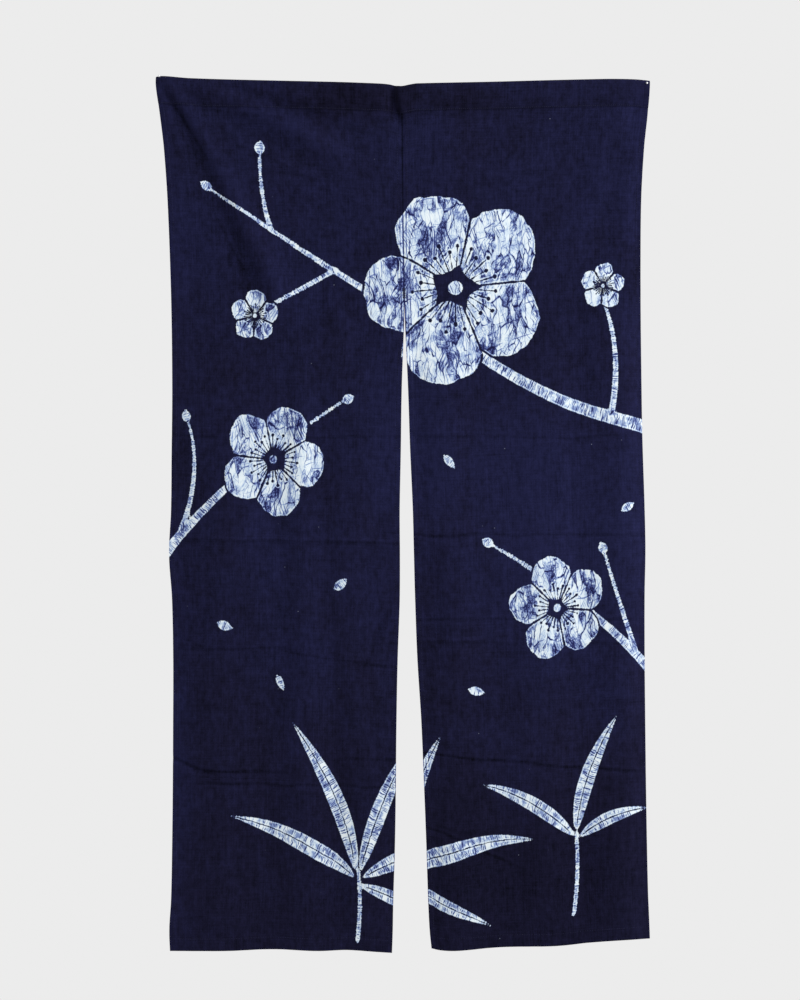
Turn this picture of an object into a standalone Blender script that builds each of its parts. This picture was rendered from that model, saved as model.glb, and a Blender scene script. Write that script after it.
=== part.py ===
"""A split doorway curtain (noren) of two cotton panels, held at its top corners by two wall pins.

Metres, +Z up. +X is to the right of someone facing the curtain and -Y is towards them.
The origin is the middle of the top edge, where the fold of the heading is lowest.
All tables are in millimetres. A drop is measured straight down from the origin.
"""
import math

import bpy
from mathutils import Matrix, Vector

MM = 0.001

# Cloth sizes in millimetres
PANEL_WIDTH = 424.0
CLOTH = 1.2
HEADING_HEIGHT = 48.2
HEADING_WALL = 1.3
PIECE_GAP = 0.3
SEAM_GAP = 0.4

# Mesh steps of one panel. Columns stand closer towards the join, rows closer towards the top.
PANEL_COLUMNS = 26
PANEL_ROWS = 30
COLUMN_CROWDING = 1.3
ROW_CROWDING = 1.3
WELD_DISTANCE = 0.01
SHARP_DEGREES = 50

# Pins: a domed head on a straight shank, pushed through both layers of the heading
PIN_SHANK_RADIUS = 0.55
PIN_LENGTH = 30.0
PIN_POINT_LENGTH = 4.0
PIN_HEAD_RADIUS = 2.0
PIN_HEAD_HEIGHT = 1.8
PIN_HEAD_ARCS = 3
PIN_RIM_RADIUS = 1.8
PIN_RIM_BACK = 0.5
PIN_NECK = 0.6
PIN_SIDES = 14
PIN_HOLE_RADIUS = 1.0
PIN_HOLE_SIDES = 12
PIN_STAND_OUT = 8.5

# Outline at each drop: outer edge of the left panel, middle line between the panels, how far the
# slit between them is open, and outer edge of the right panel. The slit is sewn shut at its top.
EDGES = [
    # drop, left outer, middle, opening, right outer
    (-17, -423.0, 0.0, 0.0, 426.4),
    (0, -423.0, 0.0, 0.0, 426.0),
    (50, -416.5, 0.0, 0.0, 422.5),
    (110, -409.5, 0.0, 0.0, 416.5),
    (214, -402.5, 1.0, 0.0, 411.5),
    (375, -397.0, 4.0, 0.0, 411.0),
    (523, -395.5, 5.0, 11.0, 412.5),
    (626, -396.5, 6.0, 16.0, 414.5),
    (730, -397.5, 7.3, 22.5, 418.0),
    (807, -401.0, 8.5, 24.0, 419.5),
    (884, -396.0, 9.3, 26.5, 418.0),
    (988, -394.0, 9.5, 34.0, 418.0),
    (1091, -394.0, 11.8, 42.5, 419.0),
    (1194, -394.5, 13.5, 48.0, 420.0),
    (1297, -395.5, 14.8, 53.5, 421.5),
    (1400, -397.5, 15.0, 60.0, 423.5),
    (1452, -400.5, 15.8, 63.5, 425.5),
    (1495, -399.0, 17.3, 69.5, 427.0),
]
OUTER_COLUMN = {-1: 1, 1: 4}
MIDDLE_COLUMN = 2
OPENING_COLUMN = 3

# Height of the top edge above the origin: it sags between the pins and dips where the panels join
TOP_EDGE = [
    # across, height
    (-423, 15.5),
    (-410, 17.0),
    (-365, 13.5),
    (-245, 10.2),
    (-107, 6.8),
    (-40, 4.4),
    (-20, 3.6),
    (-9, 0.8),
    (0, 0.0),
    (12, 2.4),
    (26, 4.6),
    (168, 7.8),
    (323, 11.7),
    (365, 12.4),
    (405, 11.4),
    (425, 9.0),
]

# Drop of the bottom edge of each panel
LEFT_HEM = [
    # across, drop
    (-401, 1488.5),
    (-300, 1487.5),
    (-218, 1485.5),
    (-141, 1488.0),
    (-89, 1486.8),
    (-17, 1491.5),
]
RIGHT_HEM = [
    # across, drop
    (51, 1484.0),
    (66, 1487.0),
    (92, 1487.5),
    (168, 1482.0),
    (272, 1479.0),
    (323, 1474.0),
    (375, 1469.5),
    (427, 1467.0),
]

# Folds, each a soft trough (depth above zero, away from the viewer) or ridge (below zero) along a
# line from its head to its foot that bows aside. A foot below the hem lets the fold run out there.
FOLDS = [
    # head across, drop, foot across, drop, bow, head width, foot width, head depth, foot depth
    # Pull from the left pin
    (-432, -30, -234, 420, 14, 7, 25, 3.0, 7.5),
    (-412, -30, -186, 430, 14, 9, 30, -3.0, -7.5),
    (-392, 10, -96, 168, 6, 11, 19, 2.2, 5.0),
    (-372, -12, -70, 136, 6, 10, 18, -2.2, -5.0),
    (-330, -8, -40, 92, 4, 9, 15, 1.6, 3.0),
    # Pull from the right pin
    (418, -4, 330, 330, -8, 12, 34, 1.5, 2.5),
    (400, 6, 290, 340, -8, 14, 34, -1.2, -2.4),
    # Hang of the left panel
    (-392, 300, -396, 1620, 4, 20, 26, 2.0, 4.5),
    (-300, 400, -322, 1620, -6, 36, 46, -3.0, -6.5),
    (-216, 380, -236, 1620, 8, 24, 36, 2.2, 4.8),
    (-179, 380, -160, 1620, 4, 19, 34, -2.2, -4.5),
    (-142, 340, -98, 1620, -6, 19, 28, 2.2, 3.8),
    (-88, 340, -48, 1620, -4, 32, 32, -1.8, -3.8),
    # Hang of the right panel
    (18, 380, 52, 1620, 3, 18, 24, 2.6, 4.8),
    (72, 360, 104, 1620, 6, 30, 38, -2.8, -5.5),
    (165, 380, 178, 1620, -6, 42, 40, 1.6, 4.6),
    (240, 420, 246, 1620, 5, 36, 36, -1.5, -4.2),
    (306, 300, 312, 1620, -5, 26, 36, 2.4, 4.6),
    (366, 300, 376, 1620, 4, 28, 32, -2.6, -4.8),
    (413, 30, 427, 1620, 0, 18, 20, 5.0, 7.5),
]
# Shares of a fold's length over which it rises at its head and fades at its foot
HEAD_FADE = 0.12
FOOT_FADE = 0.22

# The heading is pinched back just left of the join and its pocket is narrower there
PINCH_ACROSS = -14.0
PINCH_WIDTH = 8.0
PINCH_DEPTH = 4.0
PINCH_SQUEEZE = 0.3
PINCH_END = 150.0
# Slow wave of the heading along the top edge
HEADING_WAVE = 0.9
HEADING_WAVE_LENGTH = 330.0

# Half depth of the pocket's middle line at each drop below the top edge
POCKET = [
    # drop below the top edge, half depth
    (0.65, 0.0),
    (1.4, 1.7),
    (3.6, 3.3),
    (9.0, 4.7),
    (18.0, 5.5),
    (28.0, 5.4),
    (37.0, 4.3),
    (43.0, 2.7),
    (46.4, 1.5),
    (47.5, 0.0),
]

# Where each pin's middle goes through the heading, and the way its shank points
PINS = {
    # name: across, height of the hole, direction from head to point
    "pin_left": (-414.5, 12.6, (0.30, 0.90, -0.30)),
    "pin_right": (416.5, 6.2, (-0.50, 0.79, 0.28)),
}

CLOTH_COLOUR = (0.0118, 0.0123, 0.0382, 1.0)
STEEL_COLOUR = (0.62, 0.63, 0.65, 1.0)


def clear_scene():
    for item in list(bpy.data.objects):
        bpy.data.objects.remove(item, do_unlink=True)


def clamp(value, low=0.0, high=1.0):
    return max(low, min(high, value))


def mix(a, b, share):
    return a + (b - a) * share


def smooth_step(share):
    share = clamp(share)
    return share * share * (3.0 - 2.0 * share)


def slope_at(rows, index, column):
    """Slope of the smooth curve at one row of a table, from the rows on its two sides."""
    before = rows[max(index - 1, 0)]
    after = rows[min(index + 1, len(rows) - 1)]
    return (after[column] - before[column]) / (after[0] - before[0])


def read_table(rows, value, column=1):
    """Value of a column where the first column has the given value, on a smooth curve."""
    value = clamp(value, rows[0][0], rows[-1][0])
    index = 0
    while index < len(rows) - 2 and value > rows[index + 1][0]:
        index += 1
    start = rows[index]
    end = rows[index + 1]
    span = end[0] - start[0]
    t = (value - start[0]) / span
    rise_out = slope_at(rows, index, column) * span
    rise_in = slope_at(rows, index + 1, column) * span
    return (
        (2 * t**3 - 3 * t**2 + 1) * start[column]
        + (t**3 - 2 * t**2 + t) * rise_out
        + (3 * t**2 - 2 * t**3) * end[column]
        + (t**3 - t**2) * rise_in
    )


def fold_depth(across, drop):
    """Sum of all folds at one place of the hanging cloth."""
    depth = 0.0
    for x0, drop0, x1, drop1, bow, width0, width1, depth0, depth1 in FOLDS:
        run_x = x1 - x0
        run_drop = drop1 - drop0
        length = math.hypot(run_x, run_drop)
        share = ((across - x0) * run_x + (drop - drop0) * run_drop) / length**2
        part = clamp(share)
        straight_aside = ((across - x0) * run_drop - (drop - drop0) * run_x) / length
        aside = straight_aside - bow * 4.0 * part * (1.0 - part)
        width = mix(width0, width1, part)
        fade = smooth_step(share / HEAD_FADE) * smooth_step((1.0 - share) / FOOT_FADE)
        depth += mix(depth0, depth1, part) * fade * math.exp(-((aside / width) ** 2))
    return depth


def pinch(across, drop):
    """How strongly the pinch beside the join works at one place, from 0 to 1."""
    aside = math.exp(-(((across - PINCH_ACROSS) / PINCH_WIDTH) ** 2))
    return aside * smooth_step((PINCH_END - drop) / (PINCH_END - HEADING_HEIGHT))


def cloth_depth(across, drop):
    """Distance of the cloth behind the plane through the origin."""
    wave = HEADING_WAVE * math.sin(2 * math.pi * across / HEADING_WAVE_LENGTH)
    below_heading = smooth_step((drop - HEADING_HEIGHT) / HEADING_HEIGHT)
    depth = mix(wave, fold_depth(across, drop), below_heading)
    return depth + PINCH_DEPTH * pinch(across, drop)


def new_material(name, colour, roughness, metallic):
    material = bpy.data.materials.new(name)
    material.use_nodes = True
    shader = material.node_tree.nodes["Principled BSDF"]
    shader.inputs["Base Color"].default_value = colour
    shader.inputs["Roughness"].default_value = roughness
    shader.inputs["Metallic"].default_value = metallic
    return material


def cotton():
    return new_material("indigo_cotton", CLOTH_COLOUR, 0.9, 0.0)


def steel():
    return new_material("pin_steel", STEEL_COLOUR, 0.3, 1.0)


def grid_object(name, columns, rows, place):
    """A grid whose corner at share (0, 0) is the upper left one, laid out by place(u, v)."""
    bpy.ops.mesh.primitive_grid_add(x_subdivisions=columns, y_subdivisions=rows, size=2.0)
    grid = bpy.context.object
    grid.name = name
    grid.data.name = name
    for vertex in grid.data.vertices:
        u = (vertex.co.x + 1.0) / 2.0
        v = (1.0 - vertex.co.y) / 2.0
        vertex.co = Vector(place(u, v)) * MM
    return grid


def finish_cloth(item, thickness, material):
    solidify = item.modifiers.new("thickness", "SOLIDIFY")
    solidify.thickness = thickness * MM
    solidify.offset = 0.0
    solidify.use_even_offset = True
    item.data.materials.append(material)
    item.data.shade_smooth()
    item.data.set_sharp_from_angle(angle=math.radians(SHARP_DEGREES))


def outer_edge(side, drop):
    return read_table(EDGES, drop, OUTER_COLUMN[side])


def inner_edge(side, drop):
    """Edge of a panel at the join or at the slit."""
    opening = max(read_table(EDGES, drop, OPENING_COLUMN), SEAM_GAP)
    return read_table(EDGES, drop, MIDDLE_COLUMN) + side * opening / 2


def make_panel(name, hem, side, material):
    """One hanging panel: side is -1 for the left one and 1 for the right one."""

    def place(u, v):
        outward = (1.0 - u if side < 0 else u) ** COLUMN_CROWDING
        down = v**ROW_CROWDING
        seam_drop = HEADING_HEIGHT - read_table(TOP_EDGE, side * PANEL_WIDTH * outward)
        nominal_drop = mix(seam_drop, hem[0][1], down)
        across = mix(inner_edge(side, nominal_drop), outer_edge(side, nominal_drop), outward)
        top = read_table(TOP_EDGE, across) - HEADING_HEIGHT - PIECE_GAP
        height = mix(top, -read_table(hem, across), down)
        return (across, cloth_depth(across, -height), height)

    panel = grid_object(name, PANEL_COLUMNS, PANEL_ROWS, place)
    finish_cloth(panel, CLOTH, material)
    return panel


def pocket_point(share):
    """Half depth (front is below zero) and drop of the pocket's middle line at a share of the loop."""
    steps = 2 * (len(POCKET) - 1)
    index = round(share * steps)
    if index < len(POCKET):
        drop, half = POCKET[index]
        return -half, drop
    drop, half = POCKET[steps - index]
    return half, drop


def make_heading(material):
    """The rod pocket: one folded strip over both panels, open at its two ends."""
    steps = 2 * (len(POCKET) - 1)

    def place(u, v):
        half, drop_in_pocket = pocket_point(v)
        outward = abs(2.0 * u - 1.0) ** COLUMN_CROWDING
        side = -1 if u < 0.5 else 1
        top = read_table(TOP_EDGE, side * PANEL_WIDTH * outward)
        across = outer_edge(side, drop_in_pocket - top) * outward
        squeeze = 1.0 - PINCH_SQUEEZE * pinch(across, 0.0)
        height = read_table(TOP_EDGE, across) - drop_in_pocket
        return (across, cloth_depth(across, 0.0) + half * squeeze, height)

    heading = grid_object("heading", 2 * PANEL_COLUMNS, steps, place)
    weld = heading.modifiers.new("join of the loop", "WELD")
    weld.merge_threshold = WELD_DISTANCE * MM
    finish_cloth(heading, HEADING_WALL, material)
    return heading


def pin_frame(across, height, direction):
    """Place and turn of a pin: its local +Z runs from the head to the point."""
    way = Vector(direction).normalized()
    hole = Vector((across, cloth_depth(across, 0.0), height)) * MM
    turn = way.to_track_quat("Z", "Y").to_matrix().to_4x4()
    return Matrix.Translation(hole - way * PIN_STAND_OUT * MM) @ turn


def pin_profile():
    """Radius and place along the pin, from the middle of the head to the point."""
    dome = []
    for step in range(PIN_HEAD_ARCS + 1):
        angle = math.pi / 2 * (1.0 - step / PIN_HEAD_ARCS)
        dome.append((PIN_HEAD_RADIUS * math.cos(angle), -PIN_HEAD_HEIGHT * math.sin(angle)))
    shank_end = PIN_LENGTH - PIN_POINT_LENGTH
    return dome + [
        (PIN_RIM_RADIUS, PIN_RIM_BACK),
        (PIN_SHANK_RADIUS, PIN_NECK),
        (PIN_SHANK_RADIUS, shank_end),
        (0.0, PIN_LENGTH),
    ]


def make_pin(name, material):
    across, height, direction = PINS[name]
    points = [Vector((radius * MM, 0.0, along * MM)) for radius, along in pin_profile()]
    mesh = bpy.data.meshes.new(name)
    edges = [(index, index + 1) for index in range(len(points) - 1)]
    mesh.from_pydata(points, edges, [])
    pin = bpy.data.objects.new(name, mesh)
    bpy.context.collection.objects.link(pin)
    pin.matrix_world = pin_frame(across, height, direction)
    turning = pin.modifiers.new("turning", "SCREW")
    turning.axis = "Z"
    turning.steps = PIN_SIDES
    turning.render_steps = PIN_SIDES
    turning.use_merge_vertices = True
    turning.merge_threshold = WELD_DISTANCE * MM
    turning.use_normal_calculate = True
    mesh.materials.append(material)
    return pin


def cut_pin_hole(heading, name):
    across, height, direction = PINS[name]
    bpy.ops.mesh.primitive_cylinder_add(
        vertices=PIN_HOLE_SIDES, radius=PIN_HOLE_RADIUS * MM, depth=2 * PIN_LENGTH * MM
    )
    cutter = bpy.context.object
    cutter.name = name + "_hole"
    cutter.matrix_world = pin_frame(across, height, direction)
    cutter.hide_render = True
    cutter.display_type = "WIRE"
    cut = heading.modifiers.new(name + " hole", "BOOLEAN")
    cut.operation = "DIFFERENCE"
    cut.object = cutter


def main():
    clear_scene()
    cloth = cotton()
    metal = steel()
    heading = make_heading(cloth)
    make_panel("panel_left", LEFT_HEM, -1, cloth)
    make_panel("panel_right", RIGHT_HEM, 1, cloth)
    for name in PINS:
        make_pin(name, metal)
        cut_pin_hole(heading, name)


main()
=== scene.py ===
"""Looks of the split doorway curtain: batik cotton panels, heading, seams, stitches and wall pins.

Lengths in the tables are millimetres. +X is right, -Y faces the viewer, and a drop is measured
down from the origin. Flat places are measured on the cloth as it was cut, before it was hung.
"""
import math

import bpy
import numpy as np
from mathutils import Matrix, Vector


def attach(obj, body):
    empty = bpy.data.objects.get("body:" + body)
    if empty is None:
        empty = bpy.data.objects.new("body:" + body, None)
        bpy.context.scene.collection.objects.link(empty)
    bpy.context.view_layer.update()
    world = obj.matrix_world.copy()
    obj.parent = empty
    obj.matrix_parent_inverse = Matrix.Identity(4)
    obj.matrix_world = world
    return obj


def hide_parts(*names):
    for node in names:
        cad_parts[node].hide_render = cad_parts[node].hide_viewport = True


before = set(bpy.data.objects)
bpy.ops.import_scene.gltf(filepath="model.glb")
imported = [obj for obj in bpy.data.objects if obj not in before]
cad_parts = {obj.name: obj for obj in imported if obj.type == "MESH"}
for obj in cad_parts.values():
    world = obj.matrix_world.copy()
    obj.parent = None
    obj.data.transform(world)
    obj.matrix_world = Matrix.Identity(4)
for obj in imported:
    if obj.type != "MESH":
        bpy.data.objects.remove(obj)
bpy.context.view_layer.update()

MM = 0.001
TAU = 2 * math.pi

# Photograph: its size, the pixel of the origin, and the real size of a pixel on the cloth
PHOTO_WIDTH = 800
PHOTO_HEIGHT = 1000
ORIGIN_PIXEL_X = 402.0
ORIGIN_PIXEL_Y = 85.8
PIXEL_MM = 1.72
LENS_MM = 85.0
SENSOR_MM = 36.0

# Cloth as it was cut and sewn
PANEL_WIDTH = 424.0
HEADING_HEIGHT = 48.2
SINGLE_HALF = 0.35
SIDE_HEM = 9.6
FOOT_HEM = 22.0
HEM_FRONT = 0.22
HEM_BACK = 0.75
SLIT_TOP_DROP = 368.0
# Puckers along the hems, the groove at the join, and the turned edges behind it
PUCKER_DEPTH = 0.35
PUCKER_REACH = 9.0
GROOVE_DEPTH = 0.9
GROOVE_WIDTH = 1.8
GROOVE_FADE = 10.0
SEAM_FOLD_HALF = 8.0
SEAM_FOLD_BEHIND = 2.4
SEAM_FOLD_RIPPLE = 0.3
SEAM_FOLD_ROWS = 110
SEAM_FOLD_COLUMNS = 9
# Distance that stands for anything too far away to matter
FAR = 30.0

EDGES = [
    # drop, left outer, middle, opening, right outer
    (-17, -423.0, 0.0, 0.0, 426.4),
    (0, -423.0, 0.0, 0.0, 426.0),
    (50, -416.5, 0.0, 0.0, 422.5),
    (110, -409.5, 0.0, 0.0, 416.5),
    (214, -402.5, 1.0, 0.0, 411.5),
    (375, -397.0, 4.0, 0.0, 411.0),
    (523, -395.5, 5.0, 11.0, 412.5),
    (626, -396.5, 6.0, 16.0, 414.5),
    (730, -397.5, 7.3, 22.5, 418.0),
    (807, -401.0, 8.5, 24.0, 419.5),
    (884, -396.0, 9.3, 26.5, 418.0),
    (988, -394.0, 9.5, 34.0, 418.0),
    (1091, -394.0, 11.8, 42.5, 419.0),
    (1194, -394.5, 13.5, 48.0, 420.0),
    (1297, -395.5, 14.8, 53.5, 421.5),
    (1400, -397.5, 15.0, 60.0, 423.5),
    (1452, -400.5, 15.8, 63.5, 425.5),
    (1495, -399.0, 17.3, 69.5, 427.0),
]
OUTER_COLUMN = {-1: 1, 1: 4}
MIDDLE_COLUMN = 2
OPENING_COLUMN = 3

TOP_EDGE = [
    # across, height
    (-423, 15.5),
    (-410, 17.0),
    (-365, 13.5),
    (-245, 10.2),
    (-107, 6.8),
    (-40, 4.4),
    (-20, 3.6),
    (-9, 0.8),
    (0, 0.0),
    (12, 2.4),
    (26, 4.6),
    (168, 7.8),
    (323, 11.7),
    (365, 12.4),
    (405, 11.4),
    (425, 9.0),
]

HEM = {
    -1: [
        # across, drop
        (-401, 1488.5),
        (-300, 1487.5),
        (-218, 1485.5),
        (-141, 1488.0),
        (-89, 1486.8),
        (-17, 1491.5),
    ],
    1: [
        # across, drop
        (51, 1484.0),
        (66, 1487.0),
        (92, 1487.5),
        (168, 1482.0),
        (272, 1479.0),
        (323, 1474.0),
        (375, 1469.5),
        (427, 1467.0),
    ],
}

# Across and drop of each end, sideways bow, width and depth at each end. A depth above 0 is a furrow.
FOLDS = [
    # head across, drop, foot across, drop, bow, head width, foot width, head depth, foot depth
    # Pull from the left pin
    (-432, -30, -234, 420, 14, 7, 25, 3.0, 7.5),
    (-412, -30, -186, 430, 14, 9, 30, -3.0, -7.5),
    (-392, 10, -96, 168, 6, 11, 19, 2.2, 5.0),
    (-372, -12, -70, 136, 6, 10, 18, -2.2, -5.0),
    (-330, -8, -40, 92, 4, 9, 15, 1.6, 3.0),
    # Pull from the right pin
    (418, -4, 330, 330, -8, 12, 34, 1.5, 2.5),
    (400, 6, 290, 340, -8, 14, 34, -1.2, -2.4),
    # Hang of the left panel
    (-392, 300, -396, 1620, 4, 20, 26, 2.0, 4.5),
    (-300, 400, -322, 1620, -6, 36, 46, -3.0, -6.5),
    (-216, 380, -236, 1620, 8, 24, 36, 2.2, 4.8),
    (-179, 380, -160, 1620, 4, 19, 34, -2.2, -4.5),
    (-142, 340, -98, 1620, -6, 19, 28, 2.2, 3.8),
    (-88, 340, -48, 1620, -4, 32, 32, -1.8, -3.8),
    # Hang of the right panel
    (18, 380, 52, 1620, 3, 18, 24, 2.6, 4.8),
    (72, 360, 104, 1620, 6, 30, 38, -2.8, -5.5),
    (165, 380, 178, 1620, -6, 42, 40, 1.6, 4.6),
    (240, 420, 246, 1620, 5, 36, 36, -1.5, -4.2),
    (306, 300, 312, 1620, -5, 26, 36, 2.4, 4.6),
    (366, 300, 376, 1620, 4, 28, 32, -2.6, -4.8),
    (413, 30, 427, 1620, 0, 18, 20, 5.0, 7.5),
]
HEAD_FADE = 0.12
FOOT_FADE = 0.22

# Finer creases that only the shown cloth has, in the same columns. Storage folds run across.
CREASES = [
    # head across, drop, foot across, drop, bow, head width, foot width, head depth, foot depth
    # Thin pull lines from the left pin
    (-416, 2, -322, 158, 5, 3, 6, 1.4, 2.0),
    (-246, 146, -136, 164, 3, 4, 5, 1.3, 1.1),
    (-300, 96, -176, 150, 4, 5, 7, -0.9, -1.2),
    (-330, 200, -262, 330, -4, 6, 9, -0.9, -1.4),
    (-340, 40, -190, 62, 3, 7, 9, -0.9, -1.0),
    # Storage folds of the left panel
    (-440, 598, 60, 605, -3, 4, 4, 1.5, 1.3),
    (-450, 783, -140, 787, 3, 4, 4, -1.9, -1.7),
    (-220, 786, 60, 792, 2, 4, 4, -1.5, -1.6),
    (-420, 934, -324, 978, 4, 5, 6, 1.8, 1.7),
    (-390, 972, -170, 968, 3, 5, 4, 1.9, 1.5),
    (-230, 966, 60, 1008, -4, 4, 5, 1.4, 1.8),
    (-440, 1130, -312, 1186, -6, 5, 7, 3.2, 2.9),
    (-360, 1180, -180, 1182, 3, 5, 4, 2.6, 1.7),
    (-370, 1198, 60, 1214, 3, 5, 6, 2.0, 2.3),
    (-130, 1161, 50, 1162, 2, 4, 4, 1.8, 2.0),
    # Storage folds of the right panel
    (-60, 604, 460, 607, 3, 4, 4, 1.0, 1.0),
    (-60, 770, 460, 774, -2, 4, 4, 1.7, 1.6),
    (-60, 921, 460, 917, 2, 4, 4, 1.5, 1.4),
    (-60, 957, 460, 962, 2, 4, 4, -1.5, -1.6),
    (-40, 1140, 480, 1184, -4, 5, 6, 3.1, 3.0),
    (20, 1272, 210, 1350, 6, 9, 12, 2.4, 2.4),
    # Short wrinkles beside the slit and the right edge
    (10, 586, 46, 652, 3, 4, 5, 1.1, 0.9),
    (22, 598, 64, 690, -3, 5, 6, -1.1, -0.9),
    (326, 346, 402, 402, 3, 4, 4, 1.1, 1.0),
    (-26, 896, -74, 1016, 4, 5, 6, 1.1, 0.9),
    (-10, 872, -38, 992, -3, 4, 5, -1.1, -0.9),
    (-34, 400, -60, 520, 4, 5, 7, 0.9, 0.8),
    # Pull at the top of the slit
    (2, 366, 38, 300, 3, 3, 6, 1.0, 0.6),
    (2, 366, -34, 296, -3, 3, 6, 1.0, 0.6),
]

# Soft clouds in the ground: how much paler than elsewhere, or darker when below 0
TONE_CLOUDS = [
    # across, drop, reach across, reach down, paler
    (-60, 20, 300, 62, -0.52),
    (-372, 70, 110, 130, -0.18),
    (230, 70, 270, 110, -0.16),
    (-262, 340, 60, 150, -0.20),
    (-394, 650, 80, 120, -0.32),
    (-240, 30, 230, 70, 0.08),
    (402, 322, 56, 110, -0.28),
    (30, 640, 440, 250, 0.12),
    (-243, 560, 70, 90, 0.16),
    (-120, 900, 240, 300, 0.22),
    (-240, 790, 80, 120, 0.32),
    (260, 800, 150, 90, 0.18),
    (-172, 1160, 60, 200, 0.22),
    (-396, 1240, 75, 500, 0.36),
    (-22, 640, 60, 190, 0.42),
    (48, 640, 70, 280, 0.34),
    (190, 640, 90, 240, 0.10),
    (262, 810, 260, 430, 0.40),
    (404, 430, 60, 200, 0.12),
    (337, 1100, 80, 120, 0.20),
    (190, 1250, 80, 110, 0.25),
    (225, 1150, 120, 120, 0.18),
    (45, 1180, 42, 130, 0.16),
    (-110, 1260, 60, 90, -0.14),
    (406, 1110, 40, 110, -0.16),
    (114, 1300, 75, 170, -0.28),
    (196, 1370, 300, 230, -0.32),
    (410, 1330, 70, 260, -0.30),
]

PINCH_ACROSS = -15.0
PINCH_LEAN = 8.0
PINCH_LEFT_WIDTH = 15.0
PINCH_RIGHT_WIDTH = 6.5
PINCH_DEPTH = 8.5
PINCH_SQUEEZE = 0.3
PINCH_END = 86.0
HEADING_WAVE = 0.9
HEADING_WAVE_LENGTH = 330.0
TOP_STIFFNESS = 40.0

POCKET = [
    # drop below the top edge, half depth of the middle line
    (0.65, 0.0),
    (1.4, 1.7),
    (3.6, 3.3),
    (9.0, 4.7),
    (18.0, 5.5),
    (28.0, 5.4),
    (37.0, 4.3),
    (43.0, 2.7),
    (46.4, 1.5),
    (47.5, 0.0),
]
POCKET_FRONT_END = 48.0
POCKET_BACK_END = 52.0
POCKET_BACK_GAP = 1.0
POCKET_RIPPLE = 0.5

# Wax-resist design, in flat places: plum blossoms on boughs, with bamboo grass below
BLOSSOMS = [
    # across, drop, radius, turn in degrees
    (92, 352, 168, 14),
    (-236, 650, 98, -12),
    (262, 905, 90, 25),
    (-272, 404, 44, 40),
    (356, 356, 40, -30),
]
BOUGHS = [
    # start across, drop, bend across, drop, end across, drop, half width at start and end
    (452, 604, 262, 568, 92, 440, 12.0, 8.0),
    (70, 430, -120, 336, -346, 188, 7.5, 2.6),
    (-124, 322, -186, 356, -266, 398, 4.5, 2.8),
    (-238, 258, -258, 204, -254, 124, 4.5, 2.2),
    (366, 584, 392, 470, 356, 380, 6.0, 2.6),
    (-440, 826, -346, 690, -108, 548, 9.5, 2.6),
    (-404, 770, -364, 668, -394, 586, 5.0, 2.2),
    (452, 1040, 330, 900, 146, 796, 9.0, 2.6),
    (408, 990, 376, 900, 348, 816, 5.0, 2.2),
    (-66, 1470, -60, 1410, -68, 1352, 4.0, 3.4),
    (280, 1430, 294, 1360, 288, 1292, 3.8, 3.2),
]
LEAVES = [
    # stalk across, drop, bend across, drop, tip across, drop, greatest half width
    (-76, 1362, -160, 1296, -312, 1258, 15.0),
    (-74, 1350, -96, 1226, -196, 1100, 15.5),
    (-64, 1350, -36, 1236, 34, 1120, 15.0),
    (-58, 1362, 50, 1296, 206, 1300, 16.0),
    (-62, 1376, 20, 1396, 118, 1446, 12.0),
    (282, 1296, 220, 1232, 112, 1204, 13.0),
    (289, 1288, 300, 1196, 368, 1098, 14.5),
    (296, 1300, 352, 1262, 424, 1258, 11.5),
]
BUDS = [
    # across, drop, length across, length down, half width
    (-254, 122, 1, -13, 9.0),
    (-348, 186, -12, -8, 8.0),
    (-396, 582, -3, -12, 8.0),
    (-104, 546, 12, -6, 8.5),
    (140, 792, -11, -6, 8.5),
    (347, 812, -4, -12, 8.0),
    # Petals that drift down
    (-336, 930, 22, 8, 8.0),
    (-118, 868, 18, -14, 8.0),
    (96, 1040, 24, 6, 7.5),
    (64, 640, 14, 18, 7.0),
    (384, 742, 18, -10, 7.0),
    (-226, 1022, 10, 20, 6.5),
]
# Boughs stop this far from a petal, and outside this share of a blossom's radius
BLOSSOM_MARGIN = 3.4
NOTCH_REACH = 0.66


def clamp(value, low=0.0, high=1.0):
    return np.clip(value, low, high)


def triple(x, y, z):
    """A grid of three numbers from a grid or a number for each."""
    return np.stack(np.broadcast_arrays(x, y, z), axis=-1)


def mix(a, b, share):
    return a + (b - a) * share


def smooth_step(share):
    share = clamp(share)
    return share * share * (3.0 - 2.0 * share)


def read_table(rows, value, column=1):
    """Value of a column where the first column has the given value, on a smooth curve."""
    table = np.array(rows, dtype=float)
    key = table[:, 0]
    data = table[:, column]
    ahead = np.r_[np.arange(1, len(key)), len(key) - 1]
    behind = np.r_[0, np.arange(len(key) - 1)]
    slope = (data[ahead] - data[behind]) / (key[ahead] - key[behind])
    value = clamp(np.asarray(value, dtype=float), key[0], key[-1])
    index = clamp(np.searchsorted(key, value) - 1, 0, len(key) - 2).astype(int)
    span = key[index + 1] - key[index]
    t = (value - key[index]) / span
    return (
        (2 * t**3 - 3 * t**2 + 1) * data[index]
        + (t**3 - 2 * t**2 + t) * slope[index] * span
        + (3 * t**2 - 2 * t**3) * data[index + 1]
        + (t**3 - t**2) * slope[index + 1] * span
    )


# Rows of the random lattice, and a shift that keeps its places above zero
LATTICE = 97
NOISE_SHIFT = 1000.0


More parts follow.
